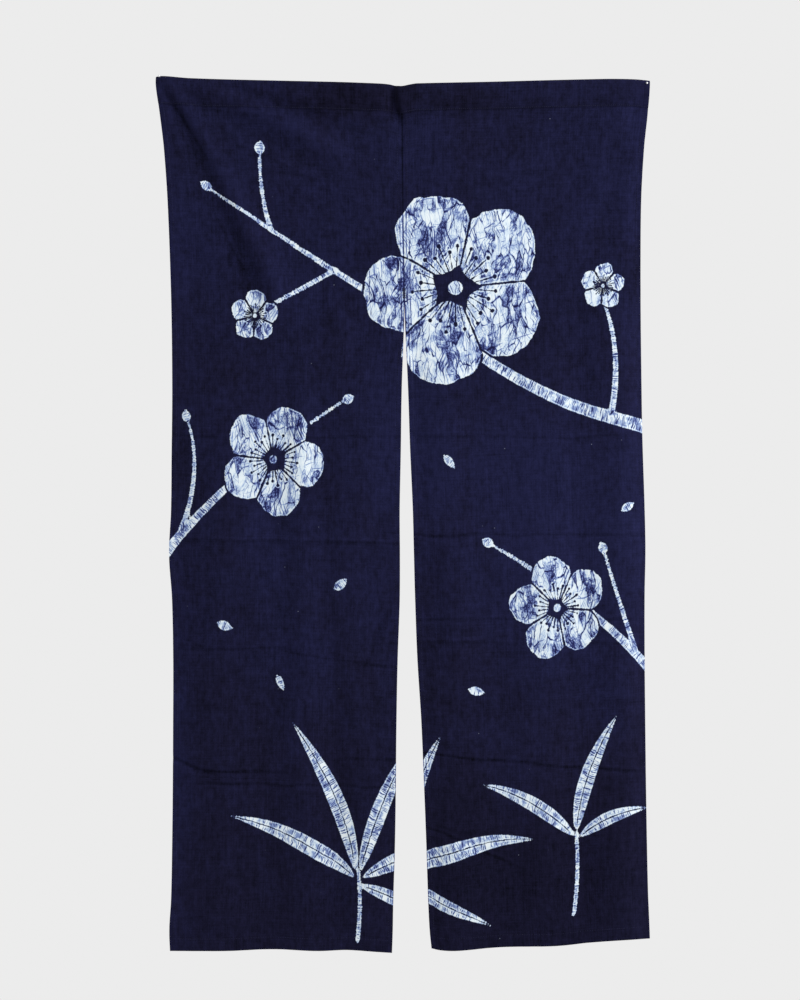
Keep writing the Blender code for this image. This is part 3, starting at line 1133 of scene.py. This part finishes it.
def panel_middle(side, inward, down_share):
    """Middle points of a panel. inward: millimetres from the slit edge, as cut. down_share: 0 to 1."""
    outward = inward / PANEL_WIDTH
    seam_drop = HEADING_HEIGHT - read_table(TOP_EDGE, side * inward)
    nominal_drop = mix(seam_drop, HEM[side][0][1], down_share)
    across = mix(inner_edge(side, nominal_drop), outer_edge(side, nominal_drop), outward)
    top = read_table(TOP_EDGE, across) - HEADING_HEIGHT
    height = mix(top, -read_table(HEM[side], across), down_share)
    return triple(across, cloth_depth(across, -height), height)


def hem_puckers(drop, edge_distance, seed):
    fade = np.exp(-edge_distance / PUCKER_REACH)
    return PUCKER_DEPTH * (soft_noise(edge_distance, drop, 20, 6.5, seed) * fade)


def plain_facts(x, drop, hem_distance):
    """Facts of a cloth place that has no design on it."""
    none = 0.0 * drop
    return {
        "flat_place": triple(x, drop, none),
        "hem_distance": hem_distance,
        "blossom_place": triple(FAR, FAR, none + 1.0),
        "stroke_place": triple(FAR, none, none),
        "stroke_more": triple(-FAR, none, FAR),
        "crease_place": triple(FAR, none, -FAR),
        "relief_place": triple(none, none, none),
    }


def design_facts(flat, hem_distance):
    """Facts of cloth places that the design reaches."""
    stroke, more, whole = stroke_facts(flat)
    return {
        "flat_place": triple(flat[..., 0], flat[..., 1], whole),
        "hem_distance": hem_distance,
        "blossom_place": blossom_facts(flat),
        "stroke_place": stroke,
        "stroke_more": more,
    }


# Distances from an edge at which the mesh has a line, so that hems and seams stay crisp, and the
# steps between such lines elsewhere
SIDE_MARKS = [0, 0.6, 1.4, 3.0, 5.5, 8.0, 9.2, 10.2, 12.0]
JOIN_MARKS = [*SIDE_MARKS, 14.5, 17.0, 20.0]
TOP_MARKS = [0, 0.8, 2.0, 4.0]
FOOT_MARKS = [0, 0.6, 1.4, 3.0, 10.0, 18.0, 21.2, 22.4, 24.5]
PINCH_MARKS = [*range(0, 21, 2), 23, 26, 30]
POCKET_SEAM_MARKS = [0, 0.6, 2.0, 4.0]
POCKET_TOP_MARKS = [0, 0.15, 0.4, 0.8, 1.6, 3.0]
PANEL_STEP_ACROSS = 5.3
PANEL_STEP_DOWN = 3.3
HEADING_STEP_ACROSS = 4.5
HEADING_STEP_DOWN = 3.2


def hem_share(distance, end=SIDE_HEM + 1.0, fade=1.2):
    """1 within a hem, falling to 0 at its end."""
    return smooth_step((end - distance) / fade)


def rounding(edge_distance):
    """Share of the cloth's thickness, which falls off at its edges."""
    return np.sqrt(clamp(edge_distance / 1.6 + 0.12))


def make_panel(side, name, node, material):
    inward = fine_steps(PANEL_WIDTH, JOIN_MARKS, SIDE_MARKS, PANEL_STEP_ACROSS)
    length = HEM[side][0][1] - HEADING_HEIGHT
    downs = fine_steps(length, TOP_MARKS, FOOT_MARKS, PANEL_STEP_DOWN)
    inward_grid, down_grid = np.meshgrid(inward, downs)
    middle = panel_middle(side, inward_grid, down_grid / length)
    outer_distance = PANEL_WIDTH - inward_grid
    foot_distance = length - down_grid
    drop = down_grid + HEADING_HEIGHT
    middle[..., 1] += hem_puckers(drop, inward_grid, 31 + side)
    middle[..., 1] += hem_puckers(drop, outer_distance, 41 + side)
    # The joined edges turn back into a groove
    joined = smooth_step((SLIT_TOP_DROP - drop) / GROOVE_FADE)
    middle[..., 1] += joined * GROOVE_DEPTH * np.exp(-inward_grid / GROOVE_WIDTH)

    foot_hem = hem_share(foot_distance, FOOT_HEM + 1.2, 1.6)
    hem = np.max([hem_share(inward_grid), hem_share(outer_distance), foot_hem], axis=0)
    rounded = rounding(np.min([inward_grid, outer_distance, foot_distance], axis=0))
    front = (SINGLE_HALF + HEM_FRONT * hem) * rounded
    back = (SINGLE_HALF + HEM_BACK * hem) * rounded

    flat = triple(side * inward_grid, drop, 0.0)
    facts = design_facts(flat, triple(outer_distance, inward_grid, foot_distance))
    facts["crease_place"] = crease_facts(middle[..., 0], -middle[..., 2])
    facts["relief_place"] = relief_facts(middle[..., 0], -middle[..., 2])
    panel = sheet_piece(name, middle, front, back, material, facts)
    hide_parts(node)


def pocket_line():
    """Drops and depths of the heading's middle line, from the seam up the front and down the back."""
    reach = POCKET_FRONT_END - POCKET[0][0]
    up = fine_steps(reach, POCKET_SEAM_MARKS, POCKET_TOP_MARKS, HEADING_STEP_DOWN)
    front = POCKET_FRONT_END - up
    back = np.r_[front[::-1][1:], POCKET_FRONT_END + 2.0, POCKET_BACK_END]
    back_depth = read_table(POCKET, back)
    back_depth = np.where(back > 30, np.maximum(back_depth, POCKET_BACK_GAP), back_depth)
    return np.r_[front, back], np.r_[-read_table(POCKET, front), back_depth]


def heading_middle(from_middle, drops, depths):
    """Middle points of the heading. from_middle: millimetres from its middle, as cut."""
    share = from_middle / PANEL_WIDTH
    real_drops = drops - read_table(TOP_EDGE, from_middle)
    across = share * np.where(share < 0, -outer_edge(-1, real_drops), outer_edge(1, real_drops))
    squeeze = 1.0 - PINCH_SQUEEZE * pinch(across, 0.0)
    height = read_table(TOP_EDGE, across) - drops
    ripple = POCKET_RIPPLE * soft_noise(across, drops * np.sign(depths + 0.01), 45, 40, 51)
    ripple = ripple * smooth_step(np.abs(depths) / 3.0)
    depth = cloth_depth(across, -height) + depths * squeeze + ripple
    return triple(across, depth, height)


def make_heading(material):
    """The folded strip of the rod pocket, open at both ends. Its back hangs just below the seam."""
    half = fine_steps(PANEL_WIDTH, PINCH_MARKS, SIDE_MARKS, HEADING_STEP_ACROSS)
    from_middle = np.r_[-half[::-1], half[1:]]
    drops, depths = pocket_line()
    place_grid, drop_grid = np.meshgrid(from_middle, drops)
    depth_grid = np.repeat(depths[:, None], len(from_middle), axis=1)
    middle = heading_middle(place_grid, drop_grid, depth_grid)
    end_distance = PANEL_WIDTH - np.abs(place_grid)
    half_thickness = (SINGLE_HALF + HEM_FRONT * hem_share(end_distance)) * rounding(end_distance)
    along = way_along(np.c_[drops, depths])
    along_grid = np.repeat(along[:, None], len(from_middle), axis=1)
    hem_distance = triple(end_distance, FAR, 2 * FAR)
    facts = plain_facts(place_grid, HEADING_HEIGHT - along_grid, hem_distance)
    facts["relief_place"] = relief_facts(middle[..., 0], -middle[..., 2])
    heading = sheet_piece("heading_cloth", middle, half_thickness, half_thickness, material, facts)
    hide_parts("heading")


def make_seam_fold(material):
    """The turned-back edges of both panels, sewn together behind the join."""
    drops = np.linspace(POCKET_BACK_END + 1.5, SLIT_TOP_DROP - 2, SEAM_FOLD_ROWS)
    offsets = np.linspace(-SEAM_FOLD_HALF, SEAM_FOLD_HALF, SEAM_FOLD_COLUMNS)
    offset_grid, drop_grid = np.meshgrid(offsets, drops)
    across = read_table(EDGES, drop_grid, MIDDLE_COLUMN) + offset_grid
    depth = cloth_depth(across, drop_grid) + SEAM_FOLD_BEHIND
    depth = depth + SEAM_FOLD_RIPPLE * soft_noise(across, drop_grid, 9, 14, 61)
    middle = triple(across, depth, -drop_grid)
    half = np.full(drop_grid.shape, SINGLE_HALF)
    hem_distance = triple(2 * FAR, SEAM_FOLD_HALF - np.abs(offset_grid), 2 * FAR)
    facts = plain_facts(offset_grid, drop_grid, hem_distance)
    facts.update(design_facts(triple(offset_grid, drop_grid, 0.0), hem_distance))
    strip = sheet_piece("seam_fold", middle, half, half, material, facts)


STITCH_SIDES = 4
STITCH_SWELLS = [
    # share of the stitch's length, share of its thickness
    (0.0, 0.25),
    (0.18, 0.8),
    (0.5, 1.0),
    (0.82, 0.8),
    (1.0, 0.25),
]


def add_stitch(points, faces, start, end, outward, half_width, proud):
    """One stitch: a slightly flat grain of thread between two needle holes."""
    base = len(points)
    outward = np.array(outward)
    run = end - start
    side = np.cross(run / np.linalg.norm(run), outward)
    for share, swell in STITCH_SWELLS:
        middle = start + run * share + outward * proud * swell
        for step in range(STITCH_SIDES):
            angle = TAU * step / STITCH_SIDES
            offset = side * math.cos(angle) + outward * math.sin(angle) * 0.7
            points.append(middle + offset * half_width * swell)
    for ring in range(len(STITCH_SWELLS) - 1):
        for step in range(STITCH_SIDES):
            a = base + ring * STITCH_SIDES + step
            b = base + ring * STITCH_SIDES + (step + 1) % STITCH_SIDES
            faces.append((a, b, b + STITCH_SIDES, a + STITCH_SIDES))
    faces.append(tuple(base + step for step in reversed(range(STITCH_SIDES))))
    last = base + (len(STITCH_SWELLS) - 1) * STITCH_SIDES
    faces.append(tuple(last + step for step in range(STITCH_SIDES)))


def make_stitches(name, lines, material, pitch, share, half_width, proud):
    """Rows of stitches along lines of surface points, each with its outward direction."""
    points = []
    faces = []
    for line, outward in lines:
        way = way_along(line)
        starts = np.arange(pitch, way[-1] - pitch, pitch)
        ends = starts + pitch * share
        first, last = [triple(*(np.interp(at, way, row) for row in line.T)) for at in (starts, ends)]
        for begin, end in zip(first, last):
            add_stitch(points, faces, begin, end, outward, half_width, proud)
    return new_piece(name, points, faces, material)


FORWARD = (0.0, -1.0, 0.0)
BACKWARD = (0.0, 1.0, 0.0)
# How far a hem's stitches lie from the line where its cloth ends
STITCH_INSET = 1.2


def make_hem_stitches(material):
    downs = np.linspace(0.002, 0.985, 900)
    inwards = np.linspace(4, PANEL_WIDTH - 4, 200)
    middles = []
    for side in (-1, 1):
        for inward in (SIDE_HEM - STITCH_INSET, PANEL_WIDTH - SIDE_HEM + STITCH_INSET):
            middles.append(panel_middle(side, np.full(downs.shape, inward), downs))
        foot = 1.0 - (FOOT_HEM - STITCH_INSET) / (HEM[side][0][1] - HEADING_HEIGHT)
        middles.append(panel_middle(side, inwards, np.full(inwards.shape, foot)))
    lines = []
    for middle in middles:
        lines.append((middle + (0.0, -SINGLE_HALF - HEM_FRONT, 0.0), FORWARD))
        lines.append((middle + (0.0, SINGLE_HALF + HEM_BACK, 0.0), BACKWARD))
    make_stitches("hem_stitches", lines, material, pitch=4.2, share=0.42, half_width=0.2, proud=0.05)


def make_heading_stitches(material):
    places = np.linspace(-PANEL_WIDTH + 2, PANEL_WIDTH - 2, 700)
    seam_drop = POCKET_FRONT_END - 2.0
    drops = np.full(places.shape, seam_drop)
    depths = np.full(places.shape, float(read_table(POCKET, seam_drop)))
    lines = []
    for sign, outward in ((-1, FORWARD), (1, BACKWARD)):
        line = heading_middle(places, drops, sign * depths)
        lines.append((line + (0.0, sign * SINGLE_HALF * 1.5, 0.0), outward))
    make_stitches("heading_stitches", lines, material, pitch=3.4, share=0.62, half_width=0.26, proud=0.1)


TACK_STITCHES = 16
TACK_PITCH = 1.15
TACK_START = SLIT_TOP_DROP - 20
TACK_REACH = 2.6
TACK_UNEVENNESS = 0.7


def make_bar_tack(material):
    """Close stitches across the join that keep the slit from tearing further."""
    points = []
    faces = []
    for index in range(TACK_STITCHES):
        drop = TACK_START + index * TACK_PITCH
        middle = float(read_table(EDGES, drop, MIDDLE_COLUMN))
        reach = TACK_REACH + TACK_UNEVENNESS * math.sin(index * 1.9)
        across = np.array([middle - reach, middle + reach])
        depth = cloth_depth(across, np.full(2, drop)) - SINGLE_HALF - HEM_FRONT
        start, end = triple(across, depth, -drop)
        add_stitch(points, faces, start, end, FORWARD, half_width=0.5, proud=0.5)
    new_piece("slit_bar_tack", points, faces, material)


def dress_pins():
    steel = steel_material()
    for name in ("pin_left", "pin_right"):
        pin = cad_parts[name]
        pin.data.materials.clear()
        pin.data.materials.append(steel)


# Stage, in metres and watts
FLOOR_RADIUS = 1.85
FLOOR_DROP = 2.0
FLOOR_COLOUR = (0.62, 0.62, 0.62, 1.0)
SURROUND_COLOUR = (0.838, 0.838, 0.838, 1.0)
LAMP_SIZE = 2.2
LAMP_WATTS = 200.0
LAMP_PLACE = (3.15, -2.3, 0.9)
LAMP_AIM = (0.0, 0.0, -0.6)


def make_stage():
    """A plain pale floor well below the hanging cloth, a pale surround and one large soft light."""
    place = (0, 0, -FLOOR_DROP)
    bpy.ops.mesh.primitive_circle_add(vertices=96, radius=FLOOR_RADIUS, fill_type="NGON", location=place)
    floor = bpy.context.object
    floor.name = "floor"
    material, tree, shader = new_material("pale_floor")
    feed(tree, shader, [("Base Color", FLOOR_COLOUR), ("Roughness", 0.9)])
    floor.data.materials.append(material)

    world = bpy.data.worlds.new("pale_surround")
    world.use_nodes = True
    background = world.node_tree.nodes["Background"]
    feed(world.node_tree, background, [("Color", SURROUND_COLOUR), ("Strength", 1.0)])
    bpy.context.scene.world = world

    data = bpy.data.lights.new("soft_window", "AREA")
    data.shape = "RECTANGLE"
    data.size = LAMP_SIZE
    data.size_y = LAMP_SIZE
    data.energy = LAMP_WATTS
    lamp = bpy.data.objects.new("soft_window", data)
    lamp.location = LAMP_PLACE
    aim = Vector(LAMP_AIM) - lamp.location
    lamp.rotation_euler = aim.to_track_quat("-Z", "Y").to_euler()
    bpy.context.collection.objects.link(lamp)


def make_camera():
    """Square on to the cloth, framed like the photograph."""
    centre_x = (PHOTO_WIDTH / 2 - ORIGIN_PIXEL_X) * PIXEL_MM * MM
    centre_z = (ORIGIN_PIXEL_Y - PHOTO_HEIGHT / 2) * PIXEL_MM * MM
    half_height = PHOTO_HEIGHT / 2 * PIXEL_MM * MM
    distance = half_height * LENS_MM / (SENSOR_MM / 2)
    data = bpy.data.cameras.new("camera")
    data.lens = LENS_MM
    data.sensor_width = SENSOR_MM
    camera = bpy.data.objects.new("camera", data)
    camera.location = (centre_x, -distance, centre_z)
    camera.rotation_euler = (math.pi / 2, 0, 0)
    bpy.context.collection.objects.link(camera)
    bpy.context.scene.camera = camera


def main():
    bpy.context.scene.view_settings.view_transform = "Standard"
    make_camera()
    make_stage()
    cloth = cloth_material()
    thread = thread_material()
    make_panel(-1, "panel_left_cloth", "panel_left", cloth)
    make_panel(1, "panel_right_cloth", "panel_right", cloth)
    make_heading(cloth)
    make_seam_fold(cloth)
    make_hem_stitches(thread)
    make_heading_stitches(thread)
    make_bar_tack(thread)
    dress_pins()


main()
